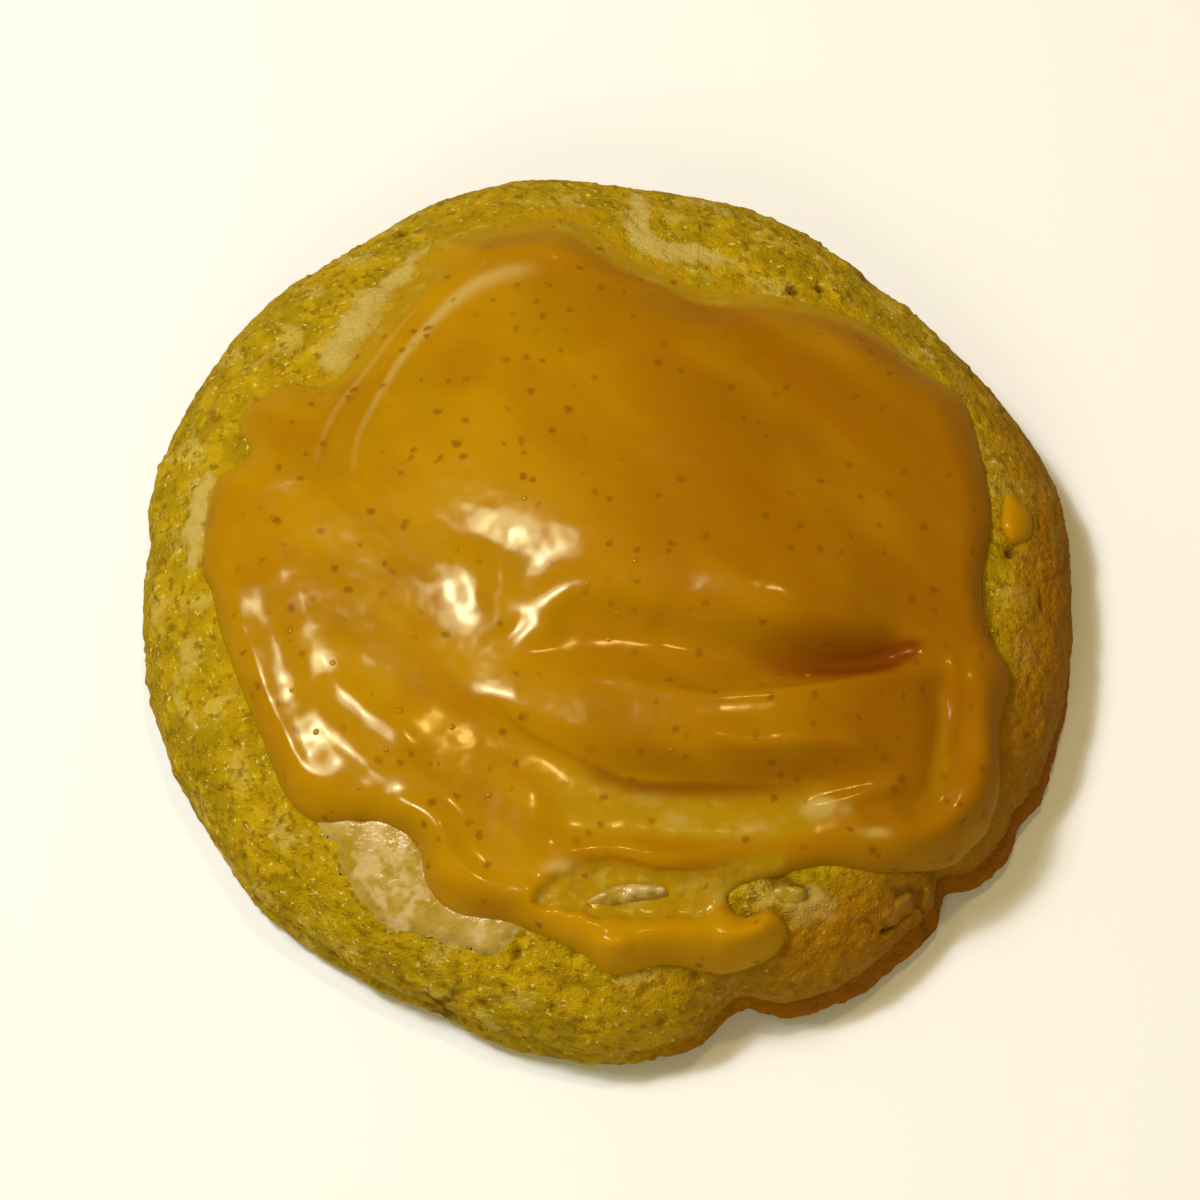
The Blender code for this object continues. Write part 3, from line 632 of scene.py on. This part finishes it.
def stroke_height(stroke, x, y):
    """What one stroke of the knife adds to the icing's thickness."""
    heights, left_widths, right_widths, points = stroke
    line = smooth_line(points)
    reach = STROKE_REACH * max(np.max(left_widths), np.max(right_widths))
    low_x, low_y = line.min(axis=0) - reach
    high_x, high_y = line.max(axis=0) + reach
    close = (x > low_x) & (x < high_x) & (y > low_y) & (y < high_y)
    away, left, place = nearest(line, x[close], y[close])
    height = along(heights, place)
    width = np.where(left, along(left_widths, place), along(right_widths, place))
    fade = ease(place / STROKE_TAPER) * ease((1 - place) / STROKE_TAPER)
    added = np.zeros(np.shape(x))
    added[close] = height * np.exp(-((away / width) ** 2)) * fade
    return added


def rounded_edge(full, inside, rounding, low, smeared=0.0):
    """A height above the crust that rises from a low edge, as a quarter round or, where smeared, a wedge."""
    within = np.clip(inside / rounding, 0, 1)
    quarter_round = np.sqrt(1 - (1 - within) ** 2)
    return low + (full - low) * (quarter_round + smeared * (ease(within) - quarter_round))


def inside_icing(x, y):
    """How far a point in plan is inside the icing's edge, which stays on the cookie."""
    within_rim = around(RIM_RADII, np.arctan2(y, x)) - np.hypot(x, y) - RIM_CLEARANCE
    return np.minimum(inside_by(ICING_EDGE, x, y), within_rim)


def icing_layer(x, y):
    """How thick the icing is spread at a point, before its edge is rounded."""
    thickness = ICING_THICKNESS
    for height, middle, reach in MOUNDS:
        away = ((x - middle[0]) / reach[0]) ** 2 + ((y - middle[1]) / reach[1]) ** 2
        thickness = thickness + height * np.exp(-away)
    for stroke in STROKES.values():
        thickness = thickness + stroke_height(stroke, x, y)
    spare = (thickness - THINNEST_ICING) / THINNING_SOFTNESS
    thickness = THINNEST_ICING + THINNING_SOFTNESS * np.logaddexp(0, spare)
    for stroke in FINE_STROKES.values():
        thickness = thickness + stroke_height(stroke, x, y)
    return thickness


def onto_the_edge(x, y, inside_at):
    """Moves points that lie outside an edge straight onto it, and leaves the others."""
    step = 0.05
    outside = inside_at(x, y) < 0
    for _ in range(2):
        px, py = x[outside], y[outside]
        slope_x = (inside_at(px + step, py) - inside_at(px - step, py)) / (2 * step)
        slope_y = (inside_at(px, py + step) - inside_at(px, py - step)) / (2 * step)
        shift = np.maximum(-inside_at(px, py), 0)
        x[outside], y[outside] = px + shift * slope_x, py + shift * slope_y
    return x, y


def plan_of(mesh):
    """The plan places of a mesh's points, as two arrays."""
    return np.array([v.co[:2] for v in mesh.verts]).T


def flat(x, y):
    """Plan places as points at no height, which the noise patterns ask for."""
    return np.stack([x, y, 0 * x], axis=1)


def spread_sheet(inside_at, spacing, middle=(0.0, 0.0), half=COOKIE_WIDTH / 2):
    """A closed flat sheet cut to an edge, and the set of its upper points."""
    mesh = bmesh.new()
    count = round(2 * half / spacing)
    bmesh.ops.create_grid(
        mesh, x_segments=count, y_segments=count, size=half, matrix=Matrix.Translation((*middle, 0)),
    )
    kept = {v for v, inside in zip(mesh.verts, inside_at(*plan_of(mesh))) if inside > 0}
    outside = [f for f in mesh.faces if not kept.intersection(f.verts)]
    bmesh.ops.delete(mesh, geom=outside, context="FACES")
    x, y = onto_the_edge(*plan_of(mesh), inside_at)
    for vertex, px, py in zip(mesh.verts, x, y):
        vertex.co = (px, py, 0)
    bmesh.ops.remove_doubles(mesh, verts=mesh.verts, dist=0.05 * spacing)
    upper = set(mesh.verts)
    bmesh.ops.solidify(mesh, geom=mesh.faces[:], thickness=1.0)
    return mesh, upper


def lay_sheet(mesh, upper, ground, above, seat=SEAT):
    """Sets the heights of a sheet: its upper points above the ground, and the others sunk to its seat."""
    for vertex, low, high in zip(mesh.verts, ground, above):
        vertex.co.z = low + (high if vertex in upper else -seat)
    bmesh.ops.recalc_face_normals(mesh, faces=mesh.faces)


icing_mesh, upper = spread_sheet(inside_icing, 0.3)
x, y = plan_of(icing_mesh)
inside = inside_icing(x, y)
layer = icing_layer(x, y)
flat_places = flat(x, y)
# In front of the swirl the icing is only a film, and the crumb shows through it
FILM_EDGE = (
    (-6.5, -33.2), (-4.5, -30.8), (0.4, -30.0), (4.5, -30.8), (8.5, -30.6), (12.5, -29.6), (12.0, -31.0),
    (9.6, -32.6), (8.8, -34.4), (4.0, -34.8), (0.0, -34.9), (-4.0, -34.3),
)
FILM_THINNING = 0.42
film = ease(inside_by(FILM_EDGE, x, y) + 0.5 * rough(flat_places, 1.5, 61.0) + 0.3)
crumb = 0.14 * rough(flat_places, 1.6, 62.0) + 0.08 * rough(flat_places, 0.8, 63.0)
layer = layer * (1 - FILM_THINNING * film) + film * crumb
on_the_left = ease((-x - 20) / 8)
ripple = (0.10 + 0.06 * on_the_left) * rough(flat_places, 4.5, 11.0)
ripple += (0.02 + 0.03 * on_the_left) * rough(flat_places, 1.9, 12.0)
level = crown(x, y)
hang = crown(x, y, wider=OVERHANG) - level
bearing = np.arctan2(y, x)
rounding = around(EDGE_ROUNDINGS, bearing)
smeared = np.clip(around(EDGE_SMEARS, bearing), 0, 1)
top = rounded_edge(layer + hang + ripple * ease(inside / 2), inside, rounding, SUNK_EDGE, smeared)
lay_sheet(icing_mesh, upper, level, top)
smoothed = [
    v for v, within, filmy in zip(icing_mesh.verts, inside, film)
    if v in upper and within > 0.5 and filmy < 0.5
]
for _ in range(2):
    bmesh.ops.smooth_vert(icing_mesh, verts=smoothed, factor=0.5, use_axis_z=True)

# Where the old pale glaze shows through: place in plan, reach across and reach along the front
PALE_PATCHES = (
    (6.3, -25.9, 2.0, 0.8), (12.6, -26.4, 1.8, 0.8), (18.9, -24.8, 2.4, 1.0), (18.9, -24.8, 1.8, 0.9),
    (23.6, -26.6, 1.8, 0.6), (1.1, -32.3, 2.0, 0.9), (3.7, -24.1, 1.8, 0.7), (9.0, -32.0, 3.0, 1.2),
    (-4.0, -30.5, 2.0, 0.9),
)
# Pale streaks at the back, given as the strokes are: thin icing over the pale glaze, with a painted
# reflection
PALE_STREAKS = (
    (
        (0.4, 0.6, 0.9, 1.0, 0.5), (0.25, 0.35, 0.5, 0.9, 0.9), (0.4, 0.5, 0.8, 1.3, 1.3),
        ((-24.6, 4.2), (-23.3, 6.7), (-22.7, 11.3), (-19.7, 17.8), (-17.3, 21.6), (-13.9, 25.7),
         (-10.0, 28.0), (-3.5, 29.0)),
    ),
    ((0.4, 0.6, 0.4), 0.35, 0.5, ((-27.0, 6.0), (-26.0, 11.0), (-24.0, 15.5), (-20.5, 21.0), (-16.5, 27.0))),
)
icing_finish, tree, shader = blank_material("caramel icing", 0.17)
# Caramel in broad patches and in streaks along the knife's path
colour = tinted(tree, (0.39, 0.208, 0.001), (0.335, 0.175, 0.001), spots_of(tree, 14.0, 0.45, 0.62))
# Painted shade: darker and more orange towards the right, away from the window, less so at the front
colour = tinted(tree, colour, (0.27, 0.105, 0.0005), amount_of(tree, "darker_and_browner", 0.0, 1.0))
colour = tinted(tree, colour, (0.30, 0.125, 0.001), spots_of(tree, 9.0, 0.46, 0.70, detail=1.0), 0.55)
colour = tinted(tree, colour, (0.38, 0.20, 0.001), streaks_of(tree, 9.0, 2.5, -42.0, 0.42, 0.68), 0.5)
colour = tinted(tree, colour, (0.28, 0.12, 0.0005), streaks_of(tree, 5.0, 4.0, -40.0, 0.48, 0.70), 0.4)
# Thin icing over the crust, the clear tail, the pale glaze below, and the film with the crumb seen through
colour = tinted(tree, colour, (0.36, 0.215, 0.002), amount_of(tree, "thin", 0.2, 0.9), 0.85)
colour = tinted(tree, colour, (0.43, 0.225, 0.001), amount_of(tree, "tail", 0.1, 0.8), 0.6)
colour = tinted(tree, colour, (0.47, 0.35, 0.10), amount_of(tree, "pale", 0.1, 1.3), 0.8)
colour = tinted(tree, colour, (0.33, 0.20, 0.003), amount_of(tree, "film", 0.2, 0.9), 0.85)
crumb_spots = part_of(tree, spots_of(tree, 1.4, 0.48, 0.66, detail=5.0), 0.55)
seen_crumb = part_of(tree, amount_of(tree, "film", 0.1, 1.0), crumb_spots)
colour = tinted(tree, colour, (0.42, 0.29, 0.04), seen_crumb)
# The shade deep in the folds
colour = tinted(tree, colour, (0.15, 0.03, 0.0005), amount_of(tree, "fold", 0.1, 1.3), 0.88)
# The icing is freckled with ground spice, more thickly in some places than in others
FRECKLE_SPACING = 2.2
FRECKLE_SHIFT = 0.9
source = tree.nodes.new("ShaderNodeTexCoord")
unrest = tree.nodes.new("ShaderNodeTexNoise")
unrest.inputs["Scale"].default_value = 1 / (FRECKLE_SHIFT * MM)
shifted = tree.nodes.new("ShaderNodeVectorMath")
shifted.operation = "MULTIPLY_ADD"
shifted.inputs[1].default_value = (FRECKLE_SHIFT * MM, FRECKLE_SHIFT * MM, FRECKLE_SHIFT * MM)
freckle = tree.nodes.new("ShaderNodeTexVoronoi")
freckle.inputs["Scale"].default_value = 1 / (FRECKLE_SPACING * MM)
tree.links.new(source.outputs["Object"], unrest.inputs["Vector"])
tree.links.new(unrest.outputs["Color"], shifted.inputs[0])
tree.links.new(source.outputs["Object"], shifted.inputs[2])
tree.links.new(shifted.outputs["Vector"], freckle.inputs["Vector"])
speck = part_of(tree, between(tree, freckle.outputs["Distance"], 0.25, 0.08), 0.75)
gathered = part_of(tree, speck, spots_of(tree, 7.0, 0.38, 0.52))
colour = tinted(tree, colour, (0.19, 0.07, 0.0005), gathered)
tree.links.new(colour, shader.inputs["Base Color"])
shader.inputs["Subsurface Weight"].default_value = 0.15
shader.inputs["Subsurface Radius"].default_value = (1.0, 0.5, 0.08)
shader.inputs["Subsurface Scale"].default_value = 1.5 * MM
shader.inputs["Specular IOR Level"].default_value = 0.13
shader.inputs["Specular Tint"].default_value = (0.95, 1.0, 0.6, 1.0)
shader.inputs["Coat Weight"].default_value = 0.12
shader.inputs["Coat IOR"].default_value = 1.3
shader.inputs["Coat Roughness"].default_value = 0.05
bumped(tree, shader, (spots_of(tree, 2.5, 0.3, 0.7, detail=1.0), 0.03))
icing = place_piece(icing_mesh, "icing_swirl", icing_finish)
# The painted shade grows towards the right and the back, and is lighter at the front
store(icing, "darker_and_browner", ease((x + 24) / 45) * (0.3 + 0.7 * ease((y + 38) / 24)))
store(icing, "thin", np.maximum(ease((1.6 - layer) / 1.0), smeared * ease((1.4 - top) / 1.2)))
smear = smeared * ease((1.5 - top) / 1.3) * (0.75 + 0.8 * rough(flat_places, 2.5, 31.0))
# Above the step the icing is still thin enough to show the crumb here and there
thin_run = ease((1.5 - layer) / 0.7) * ease((-22 - y) / 2) * ease((x + 10) / 6)
store(icing, "film", np.max([smear, film, 0.55 * thin_run], axis=0))
store(icing, "tail", stroke_height(STROKES["tail"], x, y) + 0.8 * ease((-33 - y) / 2))
pale = np.zeros(len(x))
uneven = 0.9 + 0.7 * rough(flat_places, 1.3, 41.0)
for patch_x, patch_y, wide, deep in PALE_PATCHES:
    pale += uneven * np.exp(-((x - patch_x) / wide) ** 2 - ((y - patch_y) / deep) ** 2)
# The streaks at the back are partly pale glaze under thin icing and partly a painted reflection
for streak in PALE_STREAKS:
    pale += stroke_height(streak, x, y)
store(icing, "pale", pale)
# Painted shade in the hollows between the layers, and how much each one is darkened
FOLD_DARKNESS = {"fold below the lip": 0.45, "furrow below the third": 0.4, "right lobe groove": 0.3}
painted_fold_shade = np.zeros(len(x))
for name, darkness in FOLD_DARKNESS.items():
    painted_fold_shade -= darkness * stroke_height(STROKES[name], x, y)
# The painted shade in the folds is deeper towards the right
painted_fold_shade = painted_fold_shade * (0.45 + 0.55 * ease((x - 8) / 14))
# Painted shade in the sharp creases where one layer of icing closes over another: how dark, how wide and
# where
CREASES = (
    (
        (0.1, 0.3, 0.9, 1.5), 0.9, 1.2,
        ((10.0, -11.0), (17.0, -12.0), (22.5, -11.6), (26.0, -10.3), (29.3, -8.9)),
    ),
    (
        (0.3, 0.8, 0.7, 0.1), 0.6, 1.2,
        ((-4.0, -21.0), (2.0, -22.8), (8.0, -23.0), (15.0, -22.8), (20.0, -22.0)),
    ),
    ((0.3, 0.4, 0.3), 0.25, 0.5, ((-12.0, -13.0), (-8.0, -17.5), (-3.0, -20.5), (2.0, -22.5))),
    (
        (0.4, 0.7, 0.5), 0.22, 0.3,
        ((-3.6, -30.2), (0.4, -29.6), (4.5, -30.4), (8.5, -30.2), (12.5, -29.2)),
    ),
)
for crease in CREASES:
    painted_fold_shade += stroke_height(crease, x, y)
store(icing, "fold", painted_fold_shade)
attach(icing, "root")
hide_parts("icing")

# The glaze is an older, thinner coat of plain sugar glaze that dried on the crust before the icing.
# It shows as a pale skin that runs out from under the icing at the front left, with a lifted edge.
GLAZE_THICKNESS = 0.55
GLAZE_UNDER_ICING = 1.0


def inside_glaze(x, y):
    """How far a point in plan is inside the glaze patch, which runs on just under the icing."""
    flat_places = flat(x, y)
    frayed = 0.7 * rough(flat_places, 2.0, 53.0) + 0.3 * rough(flat_places, 0.8, 54.0) - 0.2
    return np.minimum(inside_by(GLAZE_EDGE, x, y) + frayed, GLAZE_UNDER_ICING - inside_icing(x, y))


glaze_mesh, upper = spread_sheet(inside_glaze, 0.25, middle=(-16.0, -31.0), half=13.0)
x, y = plan_of(glaze_mesh)
inside = inside_glaze(x, y)
flat_places = flat(x, y)
wrinkle = 0.22 * rough(flat_places, 2.4, 21.0) + 0.10 * rough(flat_places, 1.0, 22.0)
top = rounded_edge(GLAZE_THICKNESS + wrinkle, inside, rounding=1.0, low=-0.35, smeared=0.5)
lay_sheet(glaze_mesh, upper, crown(x, y), top)
glaze_finish, tree, shader = blank_material("pale glaze", 0.3)
colour = tinted(tree, (0.40, 0.28, 0.06), (0.33, 0.22, 0.01), spots_of(tree, 3.5, 0.42, 0.62))
colour = tinted(tree, colour, (0.52, 0.41, 0.19), spots_of(tree, 2.4, 0.48, 0.62), 0.85)
colour = tinted(tree, colour, (0.33, 0.23, 0.005), spots_of(tree, 1.4, 0.56, 0.7, detail=4.0), 0.7)
tree.links.new(colour, shader.inputs["Base Color"])
shader.inputs["Subsurface Weight"].default_value = 0.2
shader.inputs["Subsurface Radius"].default_value = (1.0, 0.7, 0.3)
shader.inputs["Subsurface Scale"].default_value = 1.0 * MM
bumped(tree, shader, (spots_of(tree, 0.8, 0.3, 0.7), 0.06))
glaze = place_piece(glaze_mesh, "glaze_skin", glaze_finish)
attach(glaze, "root")
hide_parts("glaze")

# Two chunks of the same old glaze stick up at the front, one out of the thin film of icing and one out of
# the crumb beside the tail. Each is a small rough flake of dried sugar glaze.
# Each chunk's thickness, how far it is lifted off the crust, and its edge
SCRAPS = (
    (0.50, 0.0, ((14.6, -31.4), (16.0, -31.0), (17.4, -31.2), (17.0, -32.2), (15.4, -32.4))),
    (
        1.1, 0.7,
        ((-2.0, -33.3), (-0.7, -32.3), (1.5, -31.6), (4.6, -31.7), (5.2, -32.5), (2.8, -33.0), (0.2, -33.5)),
    ),
)
THINNEST_SCRAP = 0.12
scrap_mesh = bmesh.new()
for thickness, lift, edge in SCRAPS:
    middle = np.mean(edge, axis=0)
    half = np.abs(np.asarray(edge) - middle).max() + 1.0
    sheet, upper = spread_sheet(lambda px, py: inside_by(edge, px, py), 0.22, middle=middle, half=half)
    x, y = plan_of(sheet)
    inside = inside_by(edge, x, y)
    lumps = thickness * (0.8 + 0.7 * rough(flat(x, y), 1.1, 23.0))
    top = rounded_edge(np.maximum(lumps, THINNEST_SCRAP), inside, rounding=0.6, low=0.0, smeared=0.5)
    lay_sheet(sheet, upper, crown(x, y) + lift, top)
    scrap = bpy.data.meshes.new("glaze_scrap")
    sheet.to_mesh(scrap)
    sheet.free()
    scrap_mesh.from_mesh(scrap)
    bpy.data.meshes.remove(scrap)
scraps = place_piece(scrap_mesh, "glaze_scraps", glaze_finish)
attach(scraps, "root")

# One drop of the caramel icing fell clear of the rest, onto the crust at the right.
# It set where it fell, stuck by its underside, with a rounded edge and the gloss of the icing.
DROP_EDGE = ((36.5, 7.6), (37.9, 7.3), (39.1, 5.8), (38.7, 3.6), (37.2, 2.6), (36.2, 3.4), (36.0, 5.0))
DROP_HEIGHT = 1.1
drop_mesh, upper = spread_sheet(
    lambda px, py: inside_by(DROP_EDGE, px, py), 0.18, middle=(37.5, 5.0), half=3.6,
)
x, y = plan_of(drop_mesh)
inside = inside_by(DROP_EDGE, x, y)
top = rounded_edge(np.full(len(x), DROP_HEIGHT), inside, rounding=1.5, low=SUNK_EDGE)
lay_sheet(drop_mesh, upper, crown(x, y), top, seat=1.5 * SEAT)
icing_drop = place_piece(drop_mesh, "icing_drop", icing_finish)
# A little of the icing's painted shade
store(icing_drop, "darker_and_browner", np.full(len(x), 0.2))
store(icing_drop, "tail", np.full(len(x), 0.6))
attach(icing_drop, "root")

# Air bubbles rose in the icing while it was wet, and its skin closed over them as it set.
# Each is a small glossy blister of the icing itself, a little raised above its surface.
BUBBLES = (
    (-13.6, -1.1), (-14.2, -2.2), (-25.9, -17.7), (-28.2, -13.6), (-19.6, -19.8), (-15.0, -21.1),
    (-13.8, -17.7), (0.8, -7.7), (0.1, -9.8), (-28.4, -9.0), (-28.5, -8.1), (2.4, -3.1), (-7.5, 3.4),
    (-21.0, -14.6), (-18.4, -16.2), (-30.4, -6.0), (-24.5, -11.5), (-1.8, -5.2), (-10.5, -24.0),
    (5.5, -20.5), (17.8, -12.9), (-22.0, -23.0),
)
BUBBLE_SIZES = (0.26, 0.18, 0.30, 0.22)
BUBBLE_FLATNESS = 0.32
CLEAR_OF_THE_TOP = 60.0
icing_top = BVHTree.FromObject(icing, bpy.context.evaluated_depsgraph_get())


def land(surface, x, y):
    """The place and the outward direction where something dropped straight down lands, in millimetres."""
    place, outward, _, _ = surface.ray_cast(Vector((x, y, CLEAR_OF_THE_TOP)) * MM, Vector((0, 0, -1)))
    return (place / MM, outward) if place else (None, None)


bubble_mesh = bmesh.new()
for k, (bubble_x, bubble_y) in enumerate(BUBBLES):
    place, outward = land(icing_top, bubble_x, bubble_y)
    if place is None:
        continue
    size = BUBBLE_SIZES[k % len(BUBBLE_SIZES)]
    stand = Matrix.Translation(place) @ outward.to_track_quat("Z", "Y").to_matrix().to_4x4()
    flattened = stand @ Matrix.Diagonal((1, 1, BUBBLE_FLATNESS, 1))
    bmesh.ops.create_icosphere(bubble_mesh, subdivisions=3, radius=size, matrix=flattened)
bubbles = place_piece(bubble_mesh, "icing_bubbles", icing_finish)
# The blisters carry the icing's painted shade, at a middle amount
store(bubbles, "darker_and_browner", np.full(len(bubbles.data.vertices), 0.45))
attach(bubbles, "root")
